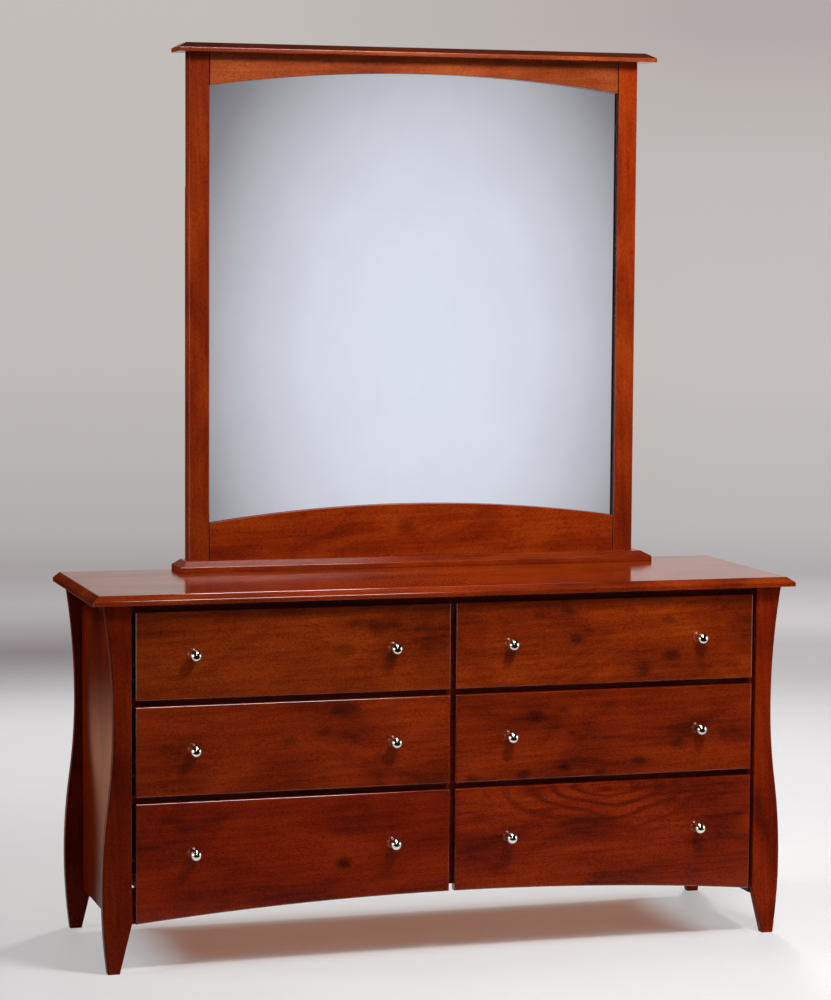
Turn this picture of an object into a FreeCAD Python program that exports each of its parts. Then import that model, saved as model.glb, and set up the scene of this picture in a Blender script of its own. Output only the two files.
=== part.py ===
import FreeCAD, Part
import math
import os

# A dresser with six drawers and a framed mirror standing on its top. Sizes are in millimetres.
# X runs to the right, Y to the back and Z up. The origin is on the floor, at the middle of the whole box.

# Top board, and the drop of the bevel that the mirror's cap and base share with it
top_width = 1524.0
top_depth = 471.0
top_thickness = 20.0
dresser_height = 775.0
top_front_overhang = 20.0
top_side_overhang = 25.0
top_bevel_width = 15.0
bevel_drop = 11.0

# Posts: straight inside, S-curved outside, tapered at the foot
post_width = 57.0
post_depth = 20.0
waist_height = 505.0
waist_inset = 20.0
belly_height = 165.0
belly_bulge = 4.0
foot_height = 100.0
foot_inner_taper = 25.0
foot_outer_inset = 7.0
post_edge_round = 3.0

# Side panels, held by a tongue in each post and lined inside up to the posts' inner faces
panel_thickness = 12.0
panel_setback = 10.0
panel_tongue = 8.0
panel_lift = 86.0

# Back panel and back rails
back_thickness = 6.0
back_lap = 8.0
back_lift = 90.0
back_rail_thickness = 20.0
back_rail_height = 60.0

# Front rails behind the drawer gaps, the lowest one arched, and the partition between the two columns
rail_height = 20.0
rail_depth = 45.0
rail_clearance = 2.0
rail_cover = 11.0
rail_end_drop = 4.0
partition_thickness = 18.0

# Drawer fronts in three rows, from the top down; the last row's lower edge is arched
front_thickness = 20.0
front_lift = 100.0
row_height_shares = [0.294, 0.302, 0.404]
top_gap = 16.0
row_gap = 13.0
side_gap = 8.0
centre_gap = 12.0
arch_rise = 32.0
front_edge_round = 3.0

# Drawer boxes, dovetailed at the corners
box_side = 12.0
box_end = 12.0
box_floor = 6.0
box_floor_lift = 10.0
box_groove = 5.0
box_under_clearance = 6.0
box_over_clearance = 25.0
box_back_clearance = 10.0
tail_count = 3
tail_wide_share = 0.62
tail_slope_share = 1 / 7

# Three-member ball-bearing slides
slide_width = 12.7
slide_height = 45.0
slide_lift = 45.0
slide_front_clearance = 3.0
slide_back_clearance = 8.0
slide_sheet = 1.2
slide_step = 2.0
slide_race = 4.2
slide_play = 0.3
channel_reach = 8.0
channel_lip = 2.0
cage_length = 150.0

# Ball knobs on a round base, turned in facets
knob_diameter = 25.0
knob_base_diameter = 15.0
knob_base_height = 3.0
knob_base_bevel = 1.0
knob_neck_diameter = 12.0
knob_neck_length = 0.6
knob_spacing = 424.0
knob_sides = 16
knob_rings = 5

# Mirror frame; it stands a little to the right of the dresser's middle
mirror_offset = 39.25
mirror_width = 1020.5
mirror_frame_depth = 38.0
stile_width = 45.0
stile_height = 1089.0
mirror_top_rail_height = 69.0
mirror_bottom_rail_height = 79.0
mirror_arch_rise = 34.0
frame_edge_bevel = 1.5
tenon_length = 22.0
tenon_thickness = 10.0
tenon_shoulder = 6.0
glass_lip = 12.0
glass_lap = 8.0
glass_thickness = 5.0
glass_play = 0.8
backing_thickness = 4.0

# Boards above and below the mirror frame
mirror_bevel_width = 20.0
cap_thickness = 20.0
cap_front_overhang = 42.0
cap_side_overhang = 31.0
base_thickness = 22.0
base_front_overhang = 47.0
base_side_overhang = 31.0

# Battens that hold the mirror to the dresser's back
support_width = 44.0
support_thickness = 18.0
support_inset = 3.0
support_drop = 200.0
support_rise = 805.0

# How near to a plane an edge must lie to count as lying in it
plane_tolerance = 0.01

# Places that follow from the sizes above
knob_ball_radius = knob_diameter / 2
knob_neck_radius = knob_neck_diameter / 2
knob_neck_depth = math.sqrt(knob_ball_radius ** 2 - knob_neck_radius ** 2)
knob_ball_centre = knob_base_height + knob_neck_length + knob_neck_depth
knob_ball_start = math.asin(knob_neck_radius / knob_ball_radius)
knob_ring_turn = (math.pi - knob_ball_start) / (knob_rings + 1 / 2)
knob_projection = knob_ball_centre + knob_ball_radius * math.cos(knob_ring_turn / 2)
case_depth = top_depth - top_front_overhang
front_reach = max(knob_projection, top_front_overhang)
front_y = (front_reach - support_thickness - case_depth) / 2
back_y = front_y + case_depth
front_post_back = front_y + post_depth
back_post_front = back_y - post_depth
post_top = dresser_height - top_thickness
post_outer_x = top_width / 2 - top_side_overhang
post_inner_x = post_outer_x - post_width
rail_front = front_y + front_thickness + rail_clearance
back_rail_front = back_y - back_thickness - back_rail_thickness
panel_inner_x = post_inner_x + panel_setback
panel_outer_x = panel_inner_x + panel_thickness
partition_x = partition_thickness / 2
fronts_outer_x = post_inner_x - side_gap
case_lift = front_lift + arch_rise + rail_cover
mirror_frame_front = back_y - mirror_frame_depth
frame_bottom = dresser_height + base_thickness
frame_top = frame_bottom + stile_height
frame_left = mirror_offset - mirror_width / 2
frame_right = mirror_offset + mirror_width / 2
opening_left = frame_left + stile_width
opening_right = frame_right - stile_width
glass_front = mirror_frame_front + glass_lip


def block(x_span, y_span, z_span):
    """A square-edged board between two places on each axis."""
    corner = FreeCAD.Vector(x_span[0], y_span[0], z_span[0])
    return Part.makeBox(x_span[1] - x_span[0], y_span[1] - y_span[0], z_span[1] - z_span[0], corner)


def mirrored(shape):
    """The same piece on the other side of the dresser."""
    return shape.mirror(FreeCAD.Vector(0, 0, 0), FreeCAD.Vector(1, 0, 0))


def bevelled_board(x_span, y_span, z_span, bevel_width):
    """A board with its upper edge bevelled at the front and both ends, and square at the back."""
    def outline(inset, z):
        left, right = x_span[0] + inset, x_span[1] - inset
        front, back = y_span[0] + inset, y_span[1]
        corners = [(left, front), (right, front), (right, back), (left, back), (left, front)]
        return Part.makePolygon([FreeCAD.Vector(x, y, z) for x, y in corners])
    bottom, top = z_span
    sections = [outline(0, bottom), outline(0, top - bevel_drop), outline(bevel_width, top)]
    return Part.makeLoft(sections, True, True)


def rising_edges(solid, plane_y):
    """The edges of an upright face that climb, and so not those along its straight top and bottom."""
    edges = []
    for edge in solid.Edges:
        box = edge.BoundBox
        in_plane = max(abs(box.YMin - plane_y), abs(box.YMax - plane_y)) < plane_tolerance
        if in_plane and box.ZLength > plane_tolerance:
            edges.append(edge)
    return edges


def bow(extreme, end):
    """The arc that leaves an upright tangent at one point and runs to another."""
    rise = end.z - extreme.z
    offset = end.x - extreme.x
    radius = (rise ** 2 + offset ** 2) / (2 * offset)
    half_offset = radius - math.copysign(math.sqrt(radius ** 2 - (rise / 2) ** 2), radius)
    middle = FreeCAD.Vector(extreme.x + half_offset, extreme.y, extreme.z + rise / 2)
    return Part.Arc(extreme, middle, end).toShape()


def arch_height(x, half_span, rise):
    """How far a shallow round arch stands above its springing at one place across it."""
    radius = (half_span ** 2 + rise ** 2) / (2 * rise)
    return rise - radius + math.sqrt(radius ** 2 - x ** 2)


def arch_edge(x_span, y, springing, middle_x, half_span, rise):
    """The part of a round arch that lies between two places."""
    places = [x_span[0], (x_span[0] + x_span[1]) / 2, x_span[1]]
    points = [FreeCAD.Vector(x, y, springing + arch_height(x - middle_x, half_span, rise)) for x in places]
    return Part.Arc(*points).toShape()


def arched_board(x_span, y_span, square_z, edge):
    """A board with one straight long edge and one arched long edge."""
    first, last = edge.Vertexes[0].Point, edge.Vertexes[-1].Point
    far = FreeCAD.Vector(last.x, last.y, square_z)
    near = FreeCAD.Vector(first.x, first.y, square_z)
    lines = [Part.makeLine(last, far), Part.makeLine(far, near), Part.makeLine(near, first)]
    face = Part.Face(Part.Wire([edge] + lines))
    return face.extrude(FreeCAD.Vector(0, y_span[1] - y_span[0], 0))


def right_post(y_span, eased_y):
    """A right-hand post before its grooves are cut, seen from the front as one S-curved outline."""
    def at(x, z):
        return FreeCAD.Vector(x, y_span[0], z)
    inner_top = at(post_inner_x, post_top)
    taper_start = at(post_inner_x, foot_height)
    foot_inner = at(post_inner_x + foot_inner_taper, 0)
    foot_outer = at(post_outer_x - foot_outer_inset, 0)
    belly = at(post_outer_x + belly_bulge, belly_height)
    waist = at(post_outer_x - waist_inset, waist_height)
    turn = at((belly.x + waist.x) / 2, (belly.z + waist.z) / 2)
    outer_top = at(post_outer_x, post_top)
    edges = [
        Part.makeLine(inner_top, taper_start),
        Part.makeLine(taper_start, foot_inner),
        Part.makeLine(foot_inner, foot_outer),
        bow(belly, foot_outer),
        bow(belly, turn),
        bow(waist, turn),
        bow(waist, outer_top),
        Part.makeLine(outer_top, inner_top),
    ]
    face = Part.Face(Part.Wire(Part.__sortEdges__(edges)))
    solid = face.extrude(FreeCAD.Vector(0, y_span[1] - y_span[0], 0))
    return solid.makeFillet(post_edge_round, rising_edges(solid, eased_y))


def case_pieces():
    """The dresser without its drawers."""
    pieces = {}
    panel_y = (front_post_back - panel_tongue, back_post_front + panel_tongue)
    panel = block((panel_inner_x, panel_outer_x), panel_y, (panel_lift, post_top))
    back_x = post_inner_x + back_lap
    back = block((-back_x, back_x), (back_y - back_thickness, back_y), (back_lift, post_top))
    front_post = right_post((front_y, front_post_back), front_y).cut(panel)
    back_post = right_post((back_post_front, back_y), back_y).cut(panel).cut(back)
    pieces["post_front_right"] = front_post
    pieces["post_front_left"] = mirrored(front_post)
    pieces["post_back_right"] = back_post
    pieces["post_back_left"] = mirrored(back_post)
    pieces["side_panel_right"] = panel
    pieces["side_panel_left"] = mirrored(panel)
    pieces["back_panel"] = back
    top_x = top_width / 2
    top_y = (front_y - top_front_overhang, back_y)
    pieces["top_board"] = bevelled_board((-top_x, top_x), top_y, (post_top, dresser_height), top_bevel_width)
    lining = block((post_inner_x, panel_inner_x), (front_post_back, back_post_front), (panel_lift, post_top))
    pieces["slide_spacers"] = Part.makeCompound([lining, mirrored(lining)])
    rail_x = (-post_inner_x, post_inner_x)
    rail_y = (rail_front, rail_front + rail_depth)
    rails = [block(rail_x, rail_y, z_span) for z_span in rail_spans()[:-1]]
    low, high = rail_spans()[-1]
    springing = front_lift - rail_end_drop
    edge = arch_edge(rail_x, rail_front, springing, 0, post_inner_x, low - springing)
    rails.append(arched_board(rail_x, rail_y, high, edge))
    pieces["front_rails"] = Part.makeCompound(rails)
    back_rail_y = (back_rail_front, back_rail_front + back_rail_thickness)
    back_spans = [(back_lift, back_lift + back_rail_height), (post_top - back_rail_height, post_top)]
    back_rails = [block(rail_x, back_rail_y, z_span) for z_span in back_spans]
    pieces["back_rails"] = Part.makeCompound(back_rails)
    partition = block((-partition_x, partition_x), (rail_front, back_rail_front), (case_lift, post_top))
    pieces["centre_partition"] = partition.cut(pieces["front_rails"])
    return pieces


def row_spans():
    """The bottom and top of each row of drawer fronts, from the top row down."""
    spans = []
    top = post_top - top_gap
    gaps = row_gap * (len(row_height_shares) - 1)
    for share in row_height_shares:
        height = share * (post_top - top_gap - gaps - front_lift)
        spans.append((top - height, top))
        top -= height + row_gap
    return spans


def rail_spans():
    """The bottom and top of each front rail, from the top one down."""
    rows = row_spans()
    spans = [(post_top - rail_height, post_top)]
    for above, below in zip(rows, rows[1:]):
        middle = (above[0] + below[1]) / 2
        spans.append((middle - rail_height / 2, middle + rail_height / 2))
    spans.append((case_lift, case_lift + rail_height))
    return spans


def box_spans():
    """The bottom and top of the drawer boxes in each row, between the rails."""
    rails = rail_spans()
    return [(below[1] + box_under_clearance, above[0] - box_over_clearance)
            for above, below in zip(rails, rails[1:])]


def drawer_front(x_span, row):
    """A drawer front; in the last row its lower edge is part of one arch across both columns."""
    bottom, top = row_spans()[row]
    y_span = (front_y, front_y + front_thickness)
    if row == len(row_height_shares) - 1:
        edge = arch_edge(x_span, front_y, bottom, 0, fronts_outer_x, arch_rise)
        board = arched_board(x_span, y_span, top, edge)
    else:
        board = block(x_span, y_span, (bottom, top))
    rim = [edge for edge in board.Edges if edge.BoundBox.YMax < front_y + plane_tolerance]
    return board.makeFillet(front_edge_round, rim)


def knob_height(row):
    """The middle of a drawer front's face, taken at the arch's crown in the last row."""
    bottom, top = row_spans()[row]
    if row == len(row_height_shares) - 1:
        bottom += arch_rise
    return (bottom + top) / 2


def dovetails(x_span, y_end, direction, z_span):
    """The tails at one end of a drawer side, widest at the end; direction points to that end."""
    pitch = (z_span[1] - z_span[0]) / tail_count
    shoulder_y = y_end - direction * box_end
    wide = pitch * tail_wide_share / 2
    narrow = wide - box_end * tail_slope_share
    tails = []
    for number in range(tail_count):
        middle = z_span[0] + pitch * (number + 1 / 2)
        corners = [(shoulder_y, -narrow), (y_end, -wide), (y_end, wide), (shoulder_y, narrow)]
        points = [FreeCAD.Vector(x_span[0], y, middle + z) for y, z in corners + corners[:1]]
        face = Part.Face(Part.makePolygon(points))
        tails.append(face.extrude(FreeCAD.Vector(x_span[1] - x_span[0], 0, 0)))
    return tails


def drawer_box(x_span, row):
    """The four dovetailed boards of a drawer box, and the thin bottom that sits in their grooves."""
    z_span = box_spans()[row]
    y_span = (front_y + front_thickness, back_rail_front - box_back_clearance)
    inner_x = (x_span[0] + box_side, x_span[1] - box_side)
    inner_y = (y_span[0] + box_end, y_span[1] - box_end)
    floor_z = (z_span[0] + box_floor_lift, z_span[0] + box_floor_lift + box_floor)
    floor = block((inner_x[0] - box_groove, inner_x[1] + box_groove),
                  (inner_y[0] - box_groove, inner_y[1] + box_groove), floor_z)
    sides = []
    all_tails = []
    for side_x in [(x_span[0], inner_x[0]), (inner_x[1], x_span[1])]:
        tails = dovetails(side_x, y_span[0], -1, z_span) + dovetails(side_x, y_span[1], 1, z_span)
        side = block(side_x, inner_y, z_span).multiFuse(tails).removeSplitter()
        sides.append(side.cut(floor))
        all_tails += tails
    inner_front = block(x_span, (y_span[0], inner_y[0]), z_span).cut(all_tails + [floor])
    back = block(x_span, (inner_y[1], y_span[1]), z_span).cut(all_tails + [floor])
    return Part.makeCompound(sides + [inner_front, back]), floor


def knob(x, z):
    """A ball knob on a round base, as rings of corners with flat facets between them."""
    base_radius = knob_base_diameter / 2
    stations = [
        (base_radius, 0),
        (base_radius, knob_base_height - knob_base_bevel),
        (base_radius - knob_base_bevel, knob_base_height),
        (knob_neck_radius, knob_base_height + knob_neck_length),
    ]
    for number in range(knob_rings):
        angle = knob_ball_start + knob_ring_turn * (number + 1)
        distance = knob_ball_centre - knob_ball_radius * math.cos(angle)
        stations.append((knob_ball_radius * math.sin(angle), distance))
    rings = []
    for radius, distance in stations:
        ring = []
        for side in range(knob_sides + 1):
            angle = 2 * math.pi * side / knob_sides
            across, up = radius * math.cos(angle), radius * math.sin(angle)
            ring.append(FreeCAD.Vector(x + across, front_y - distance, z + up))
        rings.append(ring)
    outlines = [rings[0], rings[-1]]
    for near, far in zip(rings, rings[1:]):
        for side in range(knob_sides):
            outlines.append([near[side], near[side + 1], far[side + 1], far[side], near[side]])
    facets = [Part.Face(Part.makePolygon(outline)) for outline in outlines]
    return Part.Solid(Part.Shell(facets))


def slide_member(half_profile, wall_x, direction, z, y_span):
    """A pressed-steel member from the upper half of its section, as (distance from the wall, height)."""
    section = half_profile + [(reach, -height) for reach, height in reversed(half_profile)]
    section.append(section[0])
    points = [FreeCAD.Vector(wall_x + direction * reach, y_span[0], z + height) for reach, height in section]
    return Part.Face(Part.makePolygon(points)).extrude(FreeCAD.Vector(0, y_span[1] - y_span[0], 0))


def slide(wall_x, direction, z):
    """The three members of one slide on a wall, closed, with the ball cages of the middle member."""
    y_span = (front_y + front_thickness + slide_front_clearance, back_rail_front - slide_back_clearance)
    half_height = slide_height / 2
    middle_height = half_height - slide_sheet - slide_race
    runner_height = middle_height - slide_sheet - slide_race
    channel_inside = channel_reach - slide_sheet
    middle_reach = slide_width - slide_step
    runner_tip = slide_step + slide_sheet + slide_step
    channel = [(0, half_height), (channel_reach, half_height), (channel_reach, half_height - channel_lip),
               (channel_inside, half_height - channel_lip), (channel_inside, half_height - slide_sheet),
               (slide_sheet, half_height - slide_sheet)]
    middle = [(slide_step, middle_height), (middle_reach, middle_height),
              (middle_reach, middle_height - slide_sheet),
              (slide_step + slide_sheet, middle_height - slide_sheet)]
    runner = [(slide_width, runner_height), (runner_tip, runner_height),
              (runner_tip, runner_height - slide_sheet),
              (slide_width - slide_sheet, runner_height - slide_sheet)]
    members = [slide_member(half, wall_x, direction, z, y_span) for half in (channel, middle, runner)]
    outer_cage = [(slide_step, middle_height),
                  (channel_inside - slide_play, half_height - slide_sheet - slide_play)]
    inner_cage = [(runner_tip, runner_height + slide_play), (middle_reach, middle_height - slide_sheet)]
    cages = []
    for cage, cage_y in ((outer_cage, (y_span[1] - cage_length, y_span[1])),
                         (inner_cage, (y_span[0], y_span[0] + cage_length))):
        reaches = sorted(wall_x + direction * reach for reach, height in cage)
        for side in (1, -1):
            heights = sorted(z + side * height for reach, height in cage)
            cages.append(block(reaches, cage_y, heights))
    return members[0], [members[1]] + cages, members[2]


def drawer_pieces():
    """The six drawers with their slides."""
    pieces = {}
    channels = []
    columns = {"left": (-post_inner_x, -partition_x), "right": (partition_x, post_inner_x)}
    front_columns = {"left": (-fronts_outer_x, -centre_gap / 2), "right": (centre_gap / 2, fronts_outer_x)}
    for row, row_name in enumerate(["upper", "middle", "lower"]):
        slide_z = box_spans()[row][0] + slide_lift
        for side, walls in columns.items():
            name = row_name + "_" + side + "_drawer_"
            front_x = front_columns[side]
            knob_z = knob_height(row)
            middle_x = (front_x[0] + front_x[1]) / 2
            knob_places = [middle_x - knob_spacing / 2, middle_x + knob_spacing / 2]
            pieces[name + "front"] = drawer_front(front_x, row)
            box_x = (walls[0] + slide_width, walls[1] - slide_width)
            pieces[name + "box"], pieces[name + "bottom"] = drawer_box(box_x, row)
            pieces[name + "knobs"] = Part.makeCompound([knob(x, knob_z) for x in knob_places])
            first, second = slide(walls[0], 1, slide_z), slide(walls[1], -1, slide_z)
            channels += [first[0], second[0]]
            pieces[name + "slide_middles"] = Part.makeCompound(first[1] + second[1])
            pieces[name + "runners"] = Part.makeCompound([first[2], second[2]])
    pieces["cabinet_channels"] = Part.makeCompound(channels)
    return pieces


def bevelled_edges(board):
    """A piece of the mirror frame with the small bevels that leave a groove at its joints."""
    return board.makeChamfer(frame_edge_bevel, rising_edges(board, mirror_frame_front))


def tenoned_rail(board, z_span):
    """A mirror rail with a stub tenon at each end."""
    tenon_x = (opening_left - tenon_length, opening_right + tenon_length)
    middle_y = (mirror_frame_front + back_y) / 2
    tenon_y = (middle_y - tenon_thickness / 2, middle_y + tenon_thickness / 2)
    tenon_z = (z_span[0] + tenon_shoulder, z_span[1] - tenon_shoulder)
    return bevelled_edges(board).fuse(block(tenon_x, tenon_y, tenon_z)).removeSplitter()


def mirror_pieces():
    """The framed mirror with its cap, base, glass and backing, and the battens that hold it up."""
    pieces = {}
    frame_y = (mirror_frame_front, back_y)
    opening_x = (opening_left, opening_right)
    half_opening = (opening_right - opening_left) / 2
    top_springing = frame_top - mirror_top_rail_height
    bottom_springing = frame_bottom + mirror_bottom_rail_height
    top_edge, bottom_edge = [
        arch_edge(opening_x, mirror_frame_front, springing, mirror_offset, half_opening, mirror_arch_rise)
        for springing in (top_springing, bottom_springing)]
    pocket_x = (opening_left - glass_lap, opening_right + glass_lap)
    pocket_z = (bottom_springing - glass_lap, top_springing + mirror_arch_rise + glass_lap)
    pocket = block(pocket_x, (glass_front, back_y), pocket_z)
    top_board = arched_board(opening_x, frame_y, frame_top, top_edge)
    bottom_board = arched_board(opening_x, frame_y, frame_bottom, bottom_edge)
    top_rail = tenoned_rail(top_board, (pocket_z[1], frame_top))
    bottom_rail = tenoned_rail(bottom_board, (frame_bottom, pocket_z[0]))
    stiles = {"left": (frame_left, opening_left), "right": (opening_right, frame_right)}
    for side, stile_x in stiles.items():
        stile = bevelled_edges(block(stile_x, frame_y, (frame_bottom, frame_top)))
        pieces["mirror_stile_" + side] = stile.cut([top_rail, bottom_rail, pocket])
    pieces["mirror_top_rail"] = top_rail.cut(pocket)
    pieces["mirror_bottom_rail"] = bottom_rail.cut(pocket)
    glass_x = (pocket_x[0] + glass_play, pocket_x[1] - glass_play)
    glass_z = (pocket_z[0] + glass_play, pocket_z[1] - glass_play)
    glass_back = glass_front + glass_thickness
    pieces["mirror_glass"] = block(glass_x, (glass_front, glass_back), glass_z)
    pieces["mirror_backing"] = block(glass_x, (glass_back, glass_back + backing_thickness), glass_z)
    cap_x = (frame_left - cap_side_overhang, frame_right + cap_side_overhang)
    cap_y = (mirror_frame_front - cap_front_overhang, back_y)
    cap_z = (frame_top, frame_top + cap_thickness)
    pieces["mirror_cap"] = bevelled_board(cap_x, cap_y, cap_z, mirror_bevel_width)
    base_x = (frame_left - base_side_overhang, frame_right + base_side_overhang)
    base_y = (mirror_frame_front - base_front_overhang, back_y)
    base_z = (dresser_height, frame_bottom)
    pieces["mirror_base"] = bevelled_board(base_x, base_y, base_z, mirror_bevel_width)
    supports = []
    support_z = (post_top - support_drop, frame_bottom + support_rise)
    for outer_x, direction in ((frame_left + support_inset, 1), (frame_right - support_inset, -1)):
        support_x = sorted((outer_x, outer_x + direction * support_width))
        supports.append(block(support_x, (back_y, back_y + support_thickness), support_z))
    pieces["mirror_supports"] = Part.makeCompound(supports)
    return pieces


def main():
    pieces = case_pieces()
    pieces.update(drawer_pieces())
    pieces.update(mirror_pieces())
    os.makedirs("parts", exist_ok=True)
    for name, shape in pieces.items():
        shape.exportStep(os.path.join("parts", name + ".step"))
        print(name, len(shape.Solids), "solids, volume", round(shape.Volume))


main()
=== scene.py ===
import math

import bmesh
import bpy
from mathutils import Euler, Matrix, Vector


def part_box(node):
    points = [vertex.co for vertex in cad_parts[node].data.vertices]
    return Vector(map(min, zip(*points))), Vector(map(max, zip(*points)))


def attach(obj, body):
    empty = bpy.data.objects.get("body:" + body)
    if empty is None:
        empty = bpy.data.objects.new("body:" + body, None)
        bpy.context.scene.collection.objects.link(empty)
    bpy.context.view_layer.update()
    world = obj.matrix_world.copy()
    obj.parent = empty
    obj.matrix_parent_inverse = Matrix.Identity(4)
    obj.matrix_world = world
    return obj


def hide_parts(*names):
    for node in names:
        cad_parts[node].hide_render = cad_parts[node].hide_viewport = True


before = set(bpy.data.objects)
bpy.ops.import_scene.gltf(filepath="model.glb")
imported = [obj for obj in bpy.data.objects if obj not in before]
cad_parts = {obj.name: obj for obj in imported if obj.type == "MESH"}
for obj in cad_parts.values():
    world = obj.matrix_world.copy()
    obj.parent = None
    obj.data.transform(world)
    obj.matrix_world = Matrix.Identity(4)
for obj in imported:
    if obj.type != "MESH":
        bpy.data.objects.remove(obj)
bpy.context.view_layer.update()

# Four posts, each sawn from one length of solid hardwood to a waist and a belly on the outer face, with a
# tapered foot. They are stained cherry red and sprayed with satin lacquer; the panels sit in their grooves.


def linear(hex_colour):
    """An sRGB hex value as linear red, green, blue and alpha."""
    parts = [int(hex_colour[place:place + 2], 16) / 255 for place in (1, 3, 5)]
    return [part / 12.92 if part <= 0.04045 else ((part + 0.055) / 1.055) ** 2.4 for part in parts] + [1.0]


def add(tree, kind, values={}, links={}, stops=(), **settings):
    """Adds a node with its settings, its values, its links and, on a ramp, its coloured stops.

    Sockets go by name or by number. A range takes what comes in at 0 from between 1 and 2 to between 3 and
    4. A mix has its share at 0, and what it mixes at 2 and 3 for numbers, at 4 and 5 for places, and at 6
    and 7 for colours.
    """
    made = tree.nodes.new("ShaderNode" + kind)
    for name, value in settings.items():
        setattr(made, name, value)
    for socket, value in values.items():
        made.inputs[socket].default_value = value
    for socket, source in links.items():
        tree.links.new(source, made.inputs[socket])
    if stops:
        ramp = made.color_ramp.elements
        ramp.remove(ramp[1])
        ramp[0].position, ramp[0].color = stops[0][0], linear(stops[0][1])
        for place, colour in stops[1:]:
            ramp.new(place).color = linear(colour)
    return made


def cherry_lacquer(name, grain, pith, tones, gloss=0.16, shine=0.4, peel=0.0002, swirl=None, knots_and_shade=(),
                   seams_and_shade=(), bevel_painted_shade=0.0):
    """Rubberwood stained cherry red, sanded and sprayed with satin lacquer.

    The stain goes in unevenly, so the eye sees soft dark clouds, faint drawn-out rings and short dark pores
    under one smooth clear coat. Grain runs along X or Z, and pith is where the middle of the log would be.
    Swirl is where the board cuts a bump in the log. Knots are dark patches: stain gathered in the wood, and
    on the top rail a wide patch of painted shade. Seams are dark lines: stain gathered in a joint, with
    painted shade in its groove and reveal. The bevel's painted shade darkens bevels that slope upwards.
    """
    wood = bpy.data.materials.new(name)
    wood.use_nodes = True
    tree = wood.node_tree
    shader = tree.nodes["Principled BSDF"]
    deep, middle, light = tones
    source = add(tree, "TexCoord")
    place = source.outputs["Object"]
    # No board follows its log exactly: each leans and twists by a few hundredths of a radian.
    lean, twist = 0.03, 0.02
    turn = Euler((0, lean + (math.pi / 2 if grain == "Z" else 0), twist))
    log = add(tree, "Mapping", {"Location": -(turn.to_matrix() @ Vector(pith)), "Rotation": turn},
              {"Vector": place}).outputs[0]
    # Along the grain, clouds and pores are drawn out about twice, and streaks and rings sixteen times.
    clouded = add(tree, "Mapping", {"Scale": (0.45, 1, 1)}, {"Vector": log}).outputs[0]
    drawn = add(tree, "Mapping", {"Scale": (0.06, 1, 1)}, {"Vector": log}).outputs[0]
    pored = add(tree, "Mapping", {"Scale": (0.4, 1, 1)}, {"Vector": log}).outputs[0]

    # Stain clouds come nine to the metre, about 110 mm across, and streaks are 10 mm wide.
    cloud_size, streak_width = 1 / 9, 0.01
    clouds = add(tree, "TexNoise", {"Scale": 1 / cloud_size, "Detail": 6, "Roughness": 0.58,
                 "Distortion": 0.6}, {"Vector": clouded}).outputs[0]
    streaks = add(tree, "TexNoise", {"Scale": 1 / streak_width, "Detail": 4, "Roughness": 0.6},
                  {"Vector": drawn}).outputs[0]
    tone = add(tree, "Mix", {0: 0.3}, {2: clouds, 3: streaks}).outputs[0]
    colour = add(tree, "ValToRGB", {}, {0: tone}, ((0.36, deep), (0.49, middle), (0.62, light))).outputs[0]

    # Growth rings of 9 mm end in a thin dark line of late wood and wander by about one ring. At a scale of 1
    # a wave texture has a ring every 0.314.
    ring_width, wave_length = 0.009, 0.314
    rings = add(tree, "TexWave", {"Scale": wave_length / ring_width, "Distortion": 6, "Detail": 3,
                "Detail Scale": 0.35, "Detail Roughness": 0.6}, {"Vector": drawn},
                wave_type="RINGS", rings_direction="X").outputs[1]
    late = add(tree, "MapRange", {1: 0.0, 2: 0.35, 3: 0.12, 4: 0.0}, {0: rings}).outputs[0]
    colour = add(tree, "Mix", {7: linear(deep)}, {0: late, 6: colour}, data_type="RGBA").outputs[2]

    if swirl:
        # The rings of the bump show as broken ovals 20 mm apart that fade out at its rim.
        loop_spacing = 0.02
        x, z, stretch, reach, strength = swirl
        oval = add(tree, "Mapping", {"Location": (-x / stretch, 0, -z), "Scale": (1 / stretch, 0, 1)},
                   {"Vector": place}).outputs[0]
        loops = add(tree, "TexWave", {"Scale": wave_length / loop_spacing, "Distortion": 14, "Detail": 2,
                    "Detail Scale": 0.7, "Detail Roughness": 0.5}, {"Vector": oval},
                    wave_type="RINGS", rings_direction="Y").outputs[1]
        bands = add(tree, "MapRange", {1: 0.0, 2: 0.6, 3: strength, 4: 0.0}, {0: loops}).outputs[0]
        rim = add(tree, "VectorMath", {}, {0: oval}, operation="LENGTH").outputs["Value"]
        rim = add(tree, "MapRange", {1: 0.6 * reach, 2: reach, 3: 1.0, 4: 0.0}, {0: rim}).outputs[0]
        patchy = add(tree, "MapRange", {1: 0.35, 2: 0.6, 3: 0.35, 4: 1.0}, {0: clouds}).outputs[0]
        bands = add(tree, "Math", {}, {0: bands, 1: rim}, operation="MULTIPLY").outputs[0]
        bands = add(tree, "Math", {}, {0: bands, 1: patchy}, operation="MULTIPLY").outputs[0]
        colour = add(tree, "Mix", {7: linear("#3a0a02")}, {0: bands, 6: colour}, data_type="RGBA").outputs[2]

    # Pores are 0.2 mm wide in rubberwood; they are drawn 2 mm wide so that they show at all.
    pore_width = 0.002
    pores = add(tree, "TexNoise", {"Scale": 1 / pore_width, "Detail": 2, "Roughness": 0.7},
                {"Vector": pored}).outputs[0]
    flecks = add(tree, "ValToRGB", {}, {0: pores}, ((0.36, "#a6a6a6"), (0.56, "#ffffff"))).outputs[0]
    colour = add(tree, "Mix", {0: 0.7}, {6: colour, 7: flecks}, data_type="RGBA",
                 blend_type="MULTIPLY").outputs[2]

    if knots_and_shade:
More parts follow.
